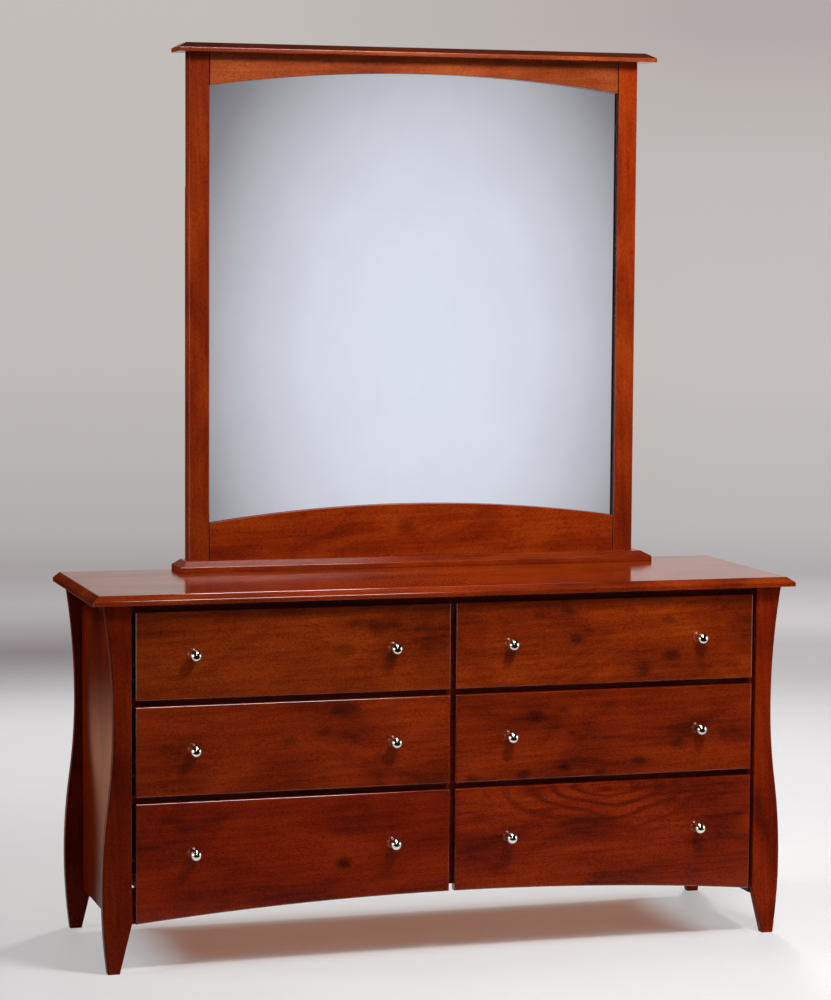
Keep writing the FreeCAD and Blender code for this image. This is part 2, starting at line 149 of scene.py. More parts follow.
        # The rim of every dark patch, the stained ones and the painted shade alike, is frayed by up to 15 mm
        # either way and drawn out along the grain.
        fray_size, fray_reach, squeeze = 1 / 45, 0.03, 0.6
        fray = add(tree, "TexNoise", {"Scale": 1 / fray_size, "Detail": 4}, {"Vector": clouded}).outputs[1]
        frayed = add(tree, "VectorMath", {1: (fray_reach, 0.0, fray_reach)}, {0: fray, 2: place},
                     operation="MULTIPLY_ADD").outputs[0]
        squeezed = add(tree, "VectorMath", {1: (squeeze, 0, 1)}, {0: frayed},
                       operation="MULTIPLY").outputs[0]
        for x, z, radius, strength in knots_and_shade:
            heart = (squeeze * (x + fray_reach / 2), 0, z + fray_reach / 2)
            away = add(tree, "VectorMath", {1: heart}, {0: squeezed}, operation="DISTANCE").outputs["Value"]
            eye = add(tree, "MapRange", {1: 0.1 * radius, 2: radius, 3: strength, 4: 0.0}, {0: away},
                      interpolation_type="SMOOTHSTEP").outputs[0]
            colour = add(tree, "Mix", {7: linear("#260803")}, {0: eye, 6: colour},
                         data_type="RGBA").outputs[2]

    # A dark line runs along each given place, strongest in its middle: stain gathered in a joint, with
    # painted shade in its groove and in the reveal beside it.
    for axis, at, half_width in seams_and_shade:
        along = add(tree, "SeparateXYZ", {}, {0: place}).outputs[axis]
        off = add(tree, "Math", {1: at}, {0: along}, operation="SUBTRACT").outputs[0]
        off = add(tree, "Math", {}, {0: off}, operation="ABSOLUTE").outputs[0]
        line = add(tree, "MapRange", {1: 0.4 * half_width, 2: half_width, 3: 0.9, 4: 0.0},
                   {0: off}).outputs[0]
        colour = add(tree, "Mix", {7: linear("#1c0502")}, {0: line, 6: colour}, data_type="RGBA").outputs[2]

    if bevel_painted_shade:
        # Painted shade: bevels that slope upwards are painted darker than flat faces and square edges.
        slope = add(tree, "SeparateXYZ", {}, {0: source.outputs["Normal"]}).outputs[2]
        sloping = add(tree, "MapRange", {1: 0.5, 2: 0.75, 3: 0.0, 4: bevel_painted_shade}, {0: slope}).outputs[0]
        level = add(tree, "MapRange", {1: 0.9, 2: 0.97, 3: 1.0, 4: 0.0}, {0: slope}).outputs[0]
        bevel_shade_mask = add(tree, "Math", {}, {0: sloping, 1: level}, operation="MULTIPLY").outputs[0]
        colour = add(tree, "Mix", {7: linear("#1c0502")}, {0: bevel_shade_mask, 6: colour},
                     data_type="RGBA").outputs[2]

    tree.links.new(colour, shader.inputs["Base Color"])
    sheen = add(tree, "MapRange", {1: 0.3, 2: 0.7, 3: gloss + 0.05, 4: gloss - 0.03}, {0: tone}).outputs[0]
    tree.links.new(sheen, shader.inputs["Roughness"])
    # Sprayed lacquer keeps a faint orange peel, about 4 mm from dimple to dimple.
    dimple_size = 0.004
    dimples = add(tree, "TexNoise", {"Scale": 1 / dimple_size, "Detail": 1}, {"Vector": place}).outputs[0]
    relief = add(tree, "Mix", {0: 0.5}, {2: dimples, 3: pores}).outputs[0]
    bump = add(tree, "Bump", {"Strength": 0.12, "Distance": peel}, {"Height": relief}).outputs[0]
    tree.links.new(bump, shader.inputs["Normal"])
    shader.inputs["IOR"].default_value = 1.5
    shader.inputs["Specular IOR Level"].default_value = shine
    return wood


def dress(node_name, finish):
    """Gives one of the solids its finish."""
    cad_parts[node_name].material_slots[0].material = finish


# Painted shade: the left posts get darker tones than the right ones, as the light falls from the right.
post_lit_and_shaded_tones = {"left": ("#430e02", "#621702", "#732205"), "right": ("#521203", "#771e03", "#8a2906")}
for side, tones in post_lit_and_shaded_tones.items():
    post_wood = cherry_lacquer("cherry_lacquer_%s_posts" % side, "Z", (0.1, 0.4, 3.0), tones, gloss=0.3,
                               shine=0.03)
    for end in ("front", "back"):
        dress("post_%s_%s" % (end, side), post_wood)

# Side panels: one wide glued-up board on each side, stained and lacquered like the posts, with its grain
# upright and its edges held in the posts' grooves.
panel_tones = ("#4f1003", "#701b02", "#822605")
panel_wood = cherry_lacquer("cherry_lacquer_side_panels", "Z", (0.2, 0.3, 5.0), panel_tones, shine=0.05)
for side in ("left", "right"):
    dress("side_panel_" + side, panel_wood)

# Front rails, partition and side linings: stained boards behind the drawer gaps, glued and screwed between
# the panels. Only their shadowed faces show, so they get one thin coat that stays dull.
rail_tones = ("#521503", "#722104", "#852d07")
rail_wood = cherry_lacquer("cherry_lacquer_front_rails", "X", (2.1, 0.1, 0.0), rail_tones, gloss=0.35,
                           shine=0.1)
dress("front_rails", rail_wood)
dress("centre_partition", rail_wood)
# Painted shade: the side linings get near-black tones so that the gaps beside the posts read as shade.
lining_shade_tones = ("#2c0702", "#400e03", "#521504")
lining_shaded_wood = cherry_lacquer("cherry_lacquer_linings_painted_shade", "Z", (2.4, 0.1, 1.0), lining_shade_tones, gloss=0.35,
                             shine=0.1)
dress("slide_spacers", lining_shaded_wood)

# Back rails: plain sawn rubberwood that nobody sees from the front, screwed and glued between the rear posts
# and left without stain.


def bare_wood(name, grain, pale, dark, rough):
    """Sawn or sanded wood with no stain: straw to brown, with darker drawn-out streaks and a dry surface.

    A box has boards that run both ways, so with grain "XY" the faces that look sideways have theirs along Y.
    """
    wood = bpy.data.materials.new(name)
    wood.use_nodes = True
    tree = wood.node_tree
    shader = tree.nodes["Principled BSDF"]
    source = add(tree, "TexCoord")
    place = source.outputs["Object"]
    turns = {"X": (0, 0, 0), "XY": (0, 0, 0), "Z": (0, math.pi / 2, 0)}
    along = add(tree, "Mapping", {"Rotation": turns[grain]}, {"Vector": place}).outputs[0]
    if grain == "XY":
        across = add(tree, "Mapping", {"Rotation": (0, 0, math.pi / 2)}, {"Vector": place}).outputs[0]
        facing = add(tree, "SeparateXYZ", {}, {0: source.outputs["Normal"]}).outputs[0]
        sideways = add(tree, "Math", {}, {0: facing}, operation="ABSOLUTE").outputs[0]
        along = add(tree, "Mix", {}, {0: sideways, 4: along, 5: across}, data_type="VECTOR").outputs[1]
    drawn = add(tree, "Mapping", {"Scale": (0.06, 1, 1)}, {"Vector": along}).outputs[0]
    # Streaks are 12 mm wide, and pores are drawn 2 mm wide so that they show.
    streak_width, pore_width = 0.012, 0.002
    streaks = add(tree, "TexNoise", {"Scale": 1 / streak_width, "Detail": 5, "Roughness": 0.65,
                  "Distortion": 0.6}, {"Vector": drawn}).outputs[0]
    pores = add(tree, "TexNoise", {"Scale": 1 / pore_width, "Detail": 2}, {"Vector": drawn}).outputs[0]
    mixed = add(tree, "Mix", {0: 0.35}, {2: streaks, 3: pores}).outputs[0]
    colour = add(tree, "ValToRGB", {}, {0: mixed}, ((0.36, dark), (0.6, pale))).outputs[0]
    tree.links.new(colour, shader.inputs["Base Color"])
    dryness = add(tree, "MapRange", {1: 0.3, 2: 0.7, 3: rough + 0.08, 4: rough - 0.08},
                  {0: pores}).outputs[0]
    tree.links.new(dryness, shader.inputs["Roughness"])
    bump = add(tree, "Bump", {"Strength": 0.25, "Distance": 0.0003}, {"Height": mixed}).outputs[0]
    tree.links.new(bump, shader.inputs["Normal"])
    return wood


dress("back_rails", bare_wood("sawn_rubberwood", "X", "#cda873", "#a67a48", 0.65))

# Back panel: one sheet of thin lauan plywood with its face grain upright, let into the rear posts and pinned
# to the back rails. It is sanded but not finished.
dress("back_panel", bare_wood("lauan_plywood", "Z", "#b98a5c", "#936540", 0.6))

# Drawer slides: three roll-formed steel members each, zinc plated and dull. The channel is screwed to the
# lining or the partition, the runner to the drawer box, and the middle member runs between them.
zinc = bpy.data.materials.new("zinc_plated_steel")
zinc.use_nodes = True
tree = zinc.node_tree
shader = tree.nodes["Principled BSDF"]
shader.inputs["Metallic"].default_value = 1.0
place = add(tree, "TexCoord").outputs["Object"]
# The eye sees a soft grey gleam. Rolling marks run along the slide, drawn 1.5 mm wide so that they show, and
# the plating's spangle is 16 mm wide.
mark_width, spangle_size = 0.0015, 0.016
rolled = add(tree, "Mapping", {"Scale": (1, 0.03, 1)}, {"Vector": place}).outputs[0]
marks = add(tree, "TexNoise", {"Scale": 1 / mark_width, "Detail": 3}, {"Vector": rolled}).outputs[0]
spangle = add(tree, "TexNoise", {"Scale": 1 / spangle_size, "Detail": 3}, {"Vector": place}).outputs[0]
worn = add(tree, "Mix", {0: 0.5}, {2: marks, 3: spangle}).outputs[0]
silver = add(tree, "ValToRGB", {}, {0: worn}, ((0.35, "#626465"), (0.65, "#878886"))).outputs[0]
tree.links.new(silver, shader.inputs["Base Color"])
dull = add(tree, "MapRange", {1: 0.3, 2: 0.7, 3: 0.6, 4: 0.75}, {0: worn}).outputs[0]
tree.links.new(dull, shader.inputs["Roughness"])
dress("cabinet_channels", zinc)
drawers = ["%s_%s" % (row, side) for row in ("upper", "middle", "lower") for side in ("left", "right")]
for drawer in drawers:
    dress(drawer + "_drawer_runners", zinc)
    dress(drawer + "_drawer_slide_middles", zinc)

# Top board: boards glued edge to edge, 20 mm thick, with a wide bevel run round the front and both ends. It
# gets the most lacquer and is rubbed to the highest gloss; the arrises are eased by hand.


def eased_board(node_name, radius, wood):
    """A copy of a bevelled board with its hard arrises taken off, standing in for that board."""
    board = bpy.data.objects.new(node_name + "_eased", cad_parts[node_name].data.copy())
    bpy.context.scene.collection.objects.link(board)
    bpy.ops.object.select_all(action="DESELECT")
    board.select_set(True)
    bpy.context.view_layer.objects.active = board
    bpy.ops.mesh.customdata_custom_splitnormals_clear()
    bpy.ops.object.mode_set(mode="EDIT")
    bpy.ops.mesh.select_mode(type="EDGE")
    bpy.ops.mesh.select_all(action="SELECT")
    bpy.ops.mesh.remove_doubles(threshold=0.00001)
    bpy.ops.mesh.dissolve_limited(angle_limit=math.radians(0.5))
    bpy.ops.mesh.select_all(action="DESELECT")
    bpy.ops.mesh.edges_select_sharp(sharpness=math.radians(20))
    bpy.ops.mesh.bevel(offset=radius, segments=3, affect="EDGES", clamp_overlap=True)
    bpy.ops.object.mode_set(mode="OBJECT")
    bpy.ops.object.shade_smooth_by_angle(angle=math.radians(40))
    # The wide faces stay flat to the eye, and only the eased arrises are shaded as round.
    bpy.ops.object.modifier_add(type="WEIGHTED_NORMAL")
    board.modifiers[0].keep_sharp = True
    bpy.ops.object.modifier_apply(modifier=board.modifiers[0].name)
    board.data.materials.clear()
    board.data.materials.append(wood)
    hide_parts(node_name)
    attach(board, "dresser")
    return board


top_tones = ("#5c1603", "#7a2504", "#8d3108")
top_wood = cherry_lacquer("cherry_lacquer_top", "X", (3.2, 0.1, 0.5), top_tones, gloss=0.1, shine=0.6,
                          peel=0.001)
eased_board("top_board", 0.0014, top_wood)

# Drawer boxes: four boards of pale rubberwood dovetailed at the corners and sealed, round a plywood bottom
# that slides in their grooves.
box_wood = bare_wood("sealed_rubberwood", "XY", "#dcbd8c", "#c09a66", 0.42)
bottom_wood = bare_wood("birch_plywood", "X", "#dcc49a", "#c4a577", 0.5)
for drawer in drawers:
    dress(drawer + "_drawer_box", box_wood)
    dress(drawer + "_drawer_bottom", bottom_wood)

# Drawer fronts: solid boards 20 mm thick screwed to their boxes from inside, each cut from its own board, so
# each has its own figure. The lower pair follows one long arch.
front_tones = {
    "upper_left": ("#4d1302", "#702303", "#873207"),
    "upper_right": ("#531402", "#792503", "#923507"),
    "middle_left": ("#521302", "#752003", "#8b2e06"),
    "middle_right": ("#501102", "#721e02", "#882b05"),
    "lower_left": ("#4f0d01", "#721902", "#862403"),
    "lower_right": ("#561102", "#7b1f03", "#902d04"),
}
front_piths = {
    "upper_left": (7.4, -0.1, 0.66),
    "upper_right": (9.0, -0.05, 0.60),
    "middle_left": (11.0, -0.08, 0.5),
    "middle_right": (13.0, -0.03, 0.4),
    "lower_left": (15.0, -0.12, 0.3),
    "lower_right": (17.0, -0.1, 0.25),
}
# Each knot is its place across and up, its radius, and how dark it is.
front_knots = {
    "upper_left": [(-0.17, 0.694, 0.024, 0.7), (-0.128, 0.697, 0.02, 0.6), (-0.234, 0.649, 0.02, 0.45),
                   (-0.21, 0.704, 0.02, 0.4)],
    "upper_right": [(0.272, 0.657, 0.016, 0.65), (0.419, 0.588, 0.019, 0.65), (0.487, 0.614, 0.02, 0.7),
                    (0.477, 0.693, 0.016, 0.5), (0.189, 0.709, 0.016, 0.45), (0.251, 0.717, 0.013, 0.45)],
    "middle_left": [(-0.245, 0.52, 0.017, 0.65), (-0.219, 0.528, 0.016, 0.65), (-0.276, 0.48, 0.018, 0.5),
                    (-0.351, 0.466, 0.016, 0.45)],
    "middle_right": [(0.185, 0.493, 0.019, 0.65), (0.243, 0.505, 0.015, 0.5), (0.265, 0.455, 0.013, 0.5),
                     (0.155, 0.371, 0.015, 0.65), (0.248, 0.383, 0.014, 0.65), (0.327, 0.369, 0.014, 0.55),
                     (0.417, 0.391, 0.017, 0.65), (0.045, 0.365, 0.016, 0.6), (0.501, 0.424, 0.017, 0.55),
                     (0.348, 0.512, 0.018, 0.35)],
    "lower_left": [(-0.235, 0.206, 0.017, 0.85), (-0.233, 0.273, 0.025, 0.35)],
    "lower_right": [],
}
# A swirl is its place across and up, how far it is drawn out, its reach upwards, and how dark it is.
front_swirls = {"lower_right": (0.34, 0.33, 2.7, 0.11, 0.65)}
for drawer in drawers:
    front_wood = cherry_lacquer("cherry_lacquer_%s_front" % drawer, "X", front_piths[drawer],
                                front_tones[drawer], gloss=0.15, shine=0.65, swirl=front_swirls.get(drawer),
                                knots_and_shade=front_knots[drawer])
    dress(drawer + "_drawer_front", front_wood)

# Knobs: a ball and its round base turned in one piece, nickel plated and polished, held by a screw through
# the drawer front. One is turned, copied beside itself, and the pair is copied to each drawer.
knob_nickel = bpy.data.materials.new("polished_nickel")
knob_nickel.use_nodes = True
tree = knob_nickel.node_tree
shader = tree.nodes["Principled BSDF"]
shader.inputs["Metallic"].default_value = 1.0
place = add(tree, "TexCoord").outputs["Object"]
# The eye sees a small, slightly warm picture of the room; finger marks about 6 mm across leave the polish a
# little duller in places.
smudge_size = 0.006
smudges = add(tree, "TexNoise", {"Scale": 1 / smudge_size, "Detail": 3}, {"Vector": place}).outputs[0]
tone = add(tree, "ValToRGB", {}, {0: smudges}, ((0.35, "#e0d6c9"), (0.65, "#f0e7dc"))).outputs[0]
tree.links.new(tone, shader.inputs["Base Color"])
polish = add(tree, "MapRange", {1: 0.35, 2: 0.7, 3: 0.04, 4: 0.11}, {0: smudges}).outputs[0]
tree.links.new(polish, shader.inputs["Roughness"])

ball_radius = 0.01235
base_radius = 0.0075
base_height = 0.003
base_bevel = 0.001
neck_length = 0.0006
neck_angle = math.radians(30)
neck_drop = ball_radius * math.cos(neck_angle)
ball_out = base_height + neck_length + neck_drop
knob_spacing = 0.424
cut_margin = 0.0002
first_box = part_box("upper_left_drawer_knobs")
front_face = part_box("upper_left_drawer_front")[0].y
first_x = (first_box[0].x + first_box[1].x - knob_spacing) / 2
first_z = (first_box[0].z + first_box[1].z) / 2

# A ball is cut off at its neck, and the open rim is drawn back in steps to the base's bevelled edge and its
# foot.
bpy.ops.object.select_all(action="DESELECT")
bpy.ops.mesh.primitive_uv_sphere_add(segments=48, ring_count=24, radius=ball_radius,
                                     rotation=(math.pi / 2, 0, 0),
                                     location=(first_x, front_face - ball_out, first_z))
knob_pair = bpy.context.object
knob_pair.name = "upper_left_knobs_turned"
bpy.ops.object.transform_apply(location=True, rotation=True, scale=True)
bpy.ops.object.mode_set(mode="EDIT")
bpy.ops.mesh.select_mode(type="VERT")
turning = bmesh.from_edit_mesh(knob_pair.data)
for corner in turning.verts:
    corner.select_set(corner.co.y > front_face - ball_out + neck_drop + cut_margin)
turning.select_flush_mode()
bmesh.update_edit_mesh(knob_pair.data)
bpy.ops.mesh.delete(type="VERT")
turning = bmesh.from_edit_mesh(knob_pair.data)
for edge in turning.edges:
    edge.select_set(edge.is_boundary)
bmesh.update_edit_mesh(knob_pair.data)
knob_foot = (first_x, front_face, first_z)
rim_radius = ball_radius * math.sin(neck_angle)
steps = ((base_radius - base_bevel, neck_length), (base_radius, base_bevel),
         (base_radius, base_height - base_bevel))
for new_radius, advance in steps:
    widening = new_radius / rim_radius
    bpy.ops.mesh.extrude_edges_move(TRANSFORM_OT_translate={"value": (0, advance, 0)})
    bpy.ops.transform.resize(value=(widening, 1, widening), center_override=knob_foot)
    rim_radius = new_radius
bpy.ops.mesh.edge_face_add()
bpy.ops.mesh.select_all(action="SELECT")
bpy.ops.mesh.normals_make_consistent(inside=False)
bpy.ops.mesh.duplicate_move(TRANSFORM_OT_translate={"value": (knob_spacing, 0, 0)})
bpy.ops.object.mode_set(mode="OBJECT")
bpy.ops.object.shade_smooth_by_angle(angle=math.radians(35))
knob_pair.data.materials.append(knob_nickel)

for drawer in drawers[1:]:
    bpy.ops.object.select_all(action="DESELECT")
    knob_pair.select_set(True)
    bpy.context.view_layer.objects.active = knob_pair
    bpy.ops.object.duplicate(linked=False)
    bpy.context.object.name = drawer + "_knobs_turned"
    bpy.ops.transform.translate(value=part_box(drawer + "_drawer_knobs")[0] - first_box[0])
    bpy.ops.object.transform_apply(location=True, rotation=True, scale=True)
for drawer in drawers:
    pair = bpy.data.objects[drawer + "_knobs_turned"]
    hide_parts(drawer + "_drawer_knobs")
    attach(pair, drawer + "_drawer")

# Mirror base: a board of stained hardwood, bevelled like the top and lacquered. It is screwed to the lower
# ends of the mirror frame and lies loose on the dresser's top.
base_tones = ("#621803", "#842906", "#99390c")
# The base's sloping bevel is painted a little darker, as shade.
base_wood = cherry_lacquer("cherry_lacquer_mirror_boards", "X", (5.4, 0.1, 1.3), base_tones,
                           bevel_painted_shade=0.35)
eased_board("mirror_base", 0.0012, base_wood)

# Mirror stiles and rails: solid frame members with tenons in the stiles, a small bevel on every arris that
# shows as a fine groove at the joints, and the rails' inner edges sawn to shallow arches.
# A dark line is painted down each stile's inner edge, through the joints and beside the glass: stain
# gathered in the joints, and painted shade in their grooves and in the reveal by the glass.
seam_and_reveal_width = 0.0017
seam_and_reveal_places = (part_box("mirror_stile_left")[1].x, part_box("mirror_stile_right")[0].x)
seams_and_shade = [("X", place, seam_and_reveal_width) for place in seam_and_reveal_places]
stile_tones = {"left": ("#601805", "#7c2506", "#8d330b"), "right": ("#651a05", "#822706", "#94350b")}
for side, tones in stile_tones.items():
    stile_wood = cherry_lacquer("cherry_lacquer_%s_stile" % side, "Z", (0.1, 0.3, 7.0), tones, seams_and_shade=seams_and_shade)
    dress("mirror_stile_" + side, stile_wood)
frame_rail_tones = {"top": ("#712b13", "#8e3c19", "#a04c23"), "bottom": ("#6a1c05", "#882a06", "#9b3a0c")}
# One small knot is low in the bottom rail, and a wide patch of painted shade darkens the top rail towards
# its right end.
frame_rail_knot_and_shade = [(0.015, 0.86, 0.02, 0.4), (0.44, 1.85, 0.22, 0.32)]
for edge, tones in frame_rail_tones.items():
    frame_rail_wood = cherry_lacquer("cherry_lacquer_%s_frame_rail" % edge, "X", (7.7, 0.1, 1.2), tones,
                                     seams_and_shade=seams_and_shade, knots_and_shade=frame_rail_knot_and_shade)
    dress("mirror_%s_rail" % edge, frame_rail_wood)

# Mirror glass: float glass 5 mm thick, silvered on its back by a bright coat of metal under paint, and held
# in the frame's rebate from behind. It gives a clean reflection with no colour of its own.
silvered = bpy.data.materials.new("silvered_float_glass")
silvered.use_nodes = True
tree = silvered.node_tree
shader = tree.nodes["Principled BSDF"]
shader.inputs["Metallic"].default_value = 1.0
place = add(tree, "TexCoord").outputs["Object"]
# A film of dust in patches about 150 mm wide is all that shows on clean silvering.
dust_size = 0.15
dust = add(tree, "TexNoise", {"Scale": 1 / dust_size, "Detail": 6, "Roughness": 0.6},
           {"Vector": place}).outputs[0]
silvering = add(tree, "ValToRGB", {}, {0: dust}, ((0.3, "#f0f0f2"), (0.7, "#f5f5f7"))).outputs[0]
tree.links.new(silvering, shader.inputs["Base Color"])
shader.inputs["Roughness"].default_value = 0.0
dress("mirror_glass", silvered)

# Mirror backing: a sheet of brown hardboard, pressed from wood fibre and left bare, which is pinned in the
# rebate over the back of the glass.
dress("mirror_backing", bare_wood("hardboard", "X", "#7d5a3c", "#63442c", 0.7))

# Mirror battens: two upright strips of hardwood behind the mirror, stained like the right-hand stile and
# screwed to the dresser's back and to the stiles.
dress("mirror_supports", stile_wood)

# Mirror cap: a bevelled board like the base, from a browner board, glued and dowelled on top of the frame.
# Its bevel is painted much darker than its edge, as shade.
cap_tones = ("#6b260f", "#883615", "#9a461e")
cap_wood = cherry_lacquer("cherry_lacquer_mirror_cap", "X", (6.1, 0.1, 2.2), cap_tones, bevel_painted_shade=0.75)
eased_board("mirror_cap", 0.0018, cap_wood)

# Studio floor: a round of pale seamless paper. It fades into the backdrop between 2.4 and 4.4 m from the
# dresser, and keeps the dresser's shadow.
bpy.ops.object.select_all(action="DESELECT")
bpy.ops.mesh.primitive_circle_add(vertices=64, radius=6, fill_type="NGON", location=(0, 0, 0))
floor = bpy.context.object
floor.name = "studio_floor"
paper = bpy.data.materials.new("seamless_paper")
paper.use_nodes = True
tree = paper.node_tree
tree.nodes.remove(tree.nodes["Principled BSDF"])
place = add(tree, "TexCoord").outputs["Object"]
fibre_size = 0.3
fibre = add(tree, "TexNoise", {"Scale": 1 / fibre_size, "Detail": 6}, {"Vector": place}).outputs[0]
tint = add(tree, "ValToRGB", {}, {0: fibre}, ((0.3, "#ece9e9"), (0.7, "#f1eeee"))).outputs[0]
matte = add(tree, "BsdfPrincipled", {"Roughness": 0.45}, {"Base Color": tint}).outputs[0]
clear = add(tree, "BsdfTransparent").outputs[0]
path = add(tree, "LightPath")
far = add(tree, "VectorMath", {}, {0: place}, operation="LENGTH").outputs["Value"]
seen_edge = add(tree, "MapRange", {1: 2.4, 2: 4.4, 3: 0.0, 4: 1.0}, {0: far},
                interpolation_type="SMOOTHSTEP").outputs[0]
# Lacquer and nickel see a dark room in front of the dresser; the mirror, whose rays are singular, sees the
# paper there.
spot = add(tree, "SeparateXYZ", {}, {0: place})
mirrored_edge = add(tree, "MapRange", {1: -0.42, 2: -0.75, 3: 0.0, 4: 1.0}, {0: spot.outputs[1]},
                    interpolation_type="SMOOTHSTEP").outputs[0]
lacquer_ray = add(tree, "Math", {}, {0: path.outputs["Is Glossy Ray"], 1: path.outputs["Is Singular Ray"]},
                  operation="SUBTRACT").outputs[0]
mirrored_edge = add(tree, "Math", {}, {0: mirrored_edge, 1: lacquer_ray}, operation="MULTIPLY").outputs[0]
gone = add(tree, "Math", {}, {0: seen_edge, 1: mirrored_edge}, operation="MAXIMUM").outputs[0]
# Under the dresser the paper's glow is painted brown: painted shade, tinted with the wood's colour thrown
# back.
under = add(tree, "VectorMath", {}, {0: place}, operation="ABSOLUTE").outputs[0]
under = add(tree, "VectorMath", {1: (0.5, 0.1, 0.0)}, {0: under}, operation="SUBTRACT").outputs[0]
under = add(tree, "SeparateXYZ", {}, {0: under})
under = add(tree, "Math", {}, {0: under.outputs[0], 1: under.outputs[1]}, operation="MAXIMUM").outputs[0]
under = add(tree, "MapRange", {1: 0.0, 2: 0.14, 3: 0.0, 4: 1.0}, {0: under},
            interpolation_type="SMOOTHSTEP").outputs[0]
painted_paper_light = add(tree, "ValToRGB", {}, {0: under}, ((0.0, "#b7765e"), (1.0, "#f4f2f3"))).outputs[0]
# Painted reflection: to glossy rays the paper just left of the dresser glows warm, so the side panel and
# posts mirror a warm sheen.
painted_warm_sheen = add(tree, "MapRange", {1: -0.8, 2: -0.95, 3: 0.0, 4: 1.0}, {0: spot.outputs[0]}).outputs[0]
behind = add(tree, "MapRange", {1: -0.1, 2: 0.2, 3: 0.0, 4: 1.0}, {0: spot.outputs[1]}).outputs[0]
painted_warm_sheen = add(tree, "Math", {}, {0: painted_warm_sheen, 1: behind}, operation="MULTIPLY").outputs[0]
painted_warm_sheen = add(tree, "Math", {}, {0: painted_warm_sheen, 1: path.outputs["Is Glossy Ray"]},
                operation="MULTIPLY").outputs[0]
painted_paper_light = add(tree, "Mix", {7: linear("#f5b795")}, {0: painted_warm_sheen, 6: painted_paper_light}, data_type="RGBA").outputs[2]
painted_paper_light = add(tree, "Emission", {}, {0: painted_paper_light}).outputs[0]
# Part of the paper glows with painted light in its pale colour, more so further away, where less light falls
# on it.
seen = add(tree, "Math", {}, {0: path.outputs["Is Camera Ray"], 1: path.outputs["Is Glossy Ray"]},
           operation="MAXIMUM").outputs[0]
seen = add(tree, "Math", {}, {0: seen, 1: path.outputs["Is Transmission Ray"]},
           operation="MAXIMUM").outputs[0]
share = add(tree, "MapRange", {1: 0.6, 2: 2.2, 3: 0.38, 4: 0.6}, {0: far}).outputs[0]
seen = add(tree, "Math", {}, {0: seen, 1: share}, operation="MULTIPLY").outputs[0]
seen = add(tree, "Math", {}, {0: seen, 1: painted_warm_sheen}, operation="MAXIMUM").outputs[0]
matte = add(tree, "MixShader", {}, {0: seen, 1: matte, 2: painted_paper_light}).outputs[0]
surface = add(tree, "MixShader", {}, {0: gone, 1: matte, 2: clear}).outputs[0]
tree.links.new(surface, tree.nodes["Material Output"].inputs["Surface"])
floor.data.materials.append(paper)

# Studio wall behind the camera: a grey wall with a pool of bluish light on it, which only the mirror sees.
# To the lacquer and the nickel it is dark.
wall_place = (0, -8, 2.5)
wall_size = (14, 1, 5)
pool_middle = Vector((2.55, -8, 0.95))
pool_share = Vector((0.67, 0.5, 0.47))
bpy.ops.object.select_all(action="DESELECT")
bpy.ops.mesh.primitive_plane_add(size=1, location=wall_place, rotation=(math.pi / 2, 0, 0))
wall = bpy.context.object
wall.name = "studio_front_wall"
bpy.ops.transform.resize(value=wall_size)
bpy.ops.object.transform_apply(location=True, rotation=True, scale=True)
glow = bpy.data.materials.new("lit_wall")
glow.use_nodes = True
tree = glow.node_tree
tree.nodes.remove(tree.nodes["Principled BSDF"])
place = add(tree, "TexCoord").outputs["Object"]
pool = add(tree, "Mapping", {"Location": -pool_middle * pool_share, "Scale": pool_share},
           {"Vector": place}).outputs[0]
pool = add(tree, "TexGradient", {}, {0: pool}, gradient_type="SPHERICAL").outputs[0]
lit = add(tree, "ValToRGB", {}, {0: pool}, ((0.0, "#68686c"), (0.14, "#8e8d93"), (0.29, "#b9b9bf"),
          (0.44, "#d1d2dc"), (0.59, "#dee2ee"), (0.75, "#e4e8f5"), (1.0, "#e6ebf8"))).outputs[0]
path = add(tree, "LightPath")
lit = add(tree, "Mix", {6: linear("#141414")}, {0: path.outputs["Is Singular Ray"], 7: lit},
          data_type="RGBA").outputs[2]
lit = add(tree, "Emission", {}, {0: lit}).outputs[0]
tree.links.new(lit, tree.nodes["Material Output"].inputs["Surface"])
wall.data.materials.append(glow)
wall.visible_camera = False
wall.visible_diffuse = False
wall.visible_shadow = False

# Studio lamps: a softbox overhead, a strip that only the polish shows, a gridded softbox for the mirror's
# left edge, a flat at each side, a weak softbox near the camera, and one behind for the floor. Each has its
# place, where it points, its size, its power in watts and the spread of its beam in degrees.
lamps = {
    "overhead_softbox": ((0.5, -1.25, 2.45), (0.0, -0.1, 0.7), (0.6, 0.4), 51.0, 180),
    "overhead_strip": ((0.08, -0.9, 2.45), (0.08, -0.9, 0.0), (0.75, 0.7), 45.0, 180),
    "left_softbox": ((-1.9, 0.2, 2.3), (-0.45, 0.2, 1.3), (0.5, 1.0), 6.0, 60),
    "left_flat": ((-2.6, -1.0, 0.9), (0.0, -0.1, 0.6), (1.5, 1.5), 16.0, 180),
    "right_flat": ((2.6, -1.0, 0.9), (0.0, -0.1, 0.6), (1.5, 1.5), 14.0, 180),
    "front_softbox": ((-0.6, -4.2, 2.9), (0.0, 0.0, 0.6), (0.7, 0.7), 14.0, 180),
    "rear_softbox": ((1.2, 2.2, 2.9), (0.0, 0.9, 0.0), (0.45, 0.45), 56.0, 180),
}
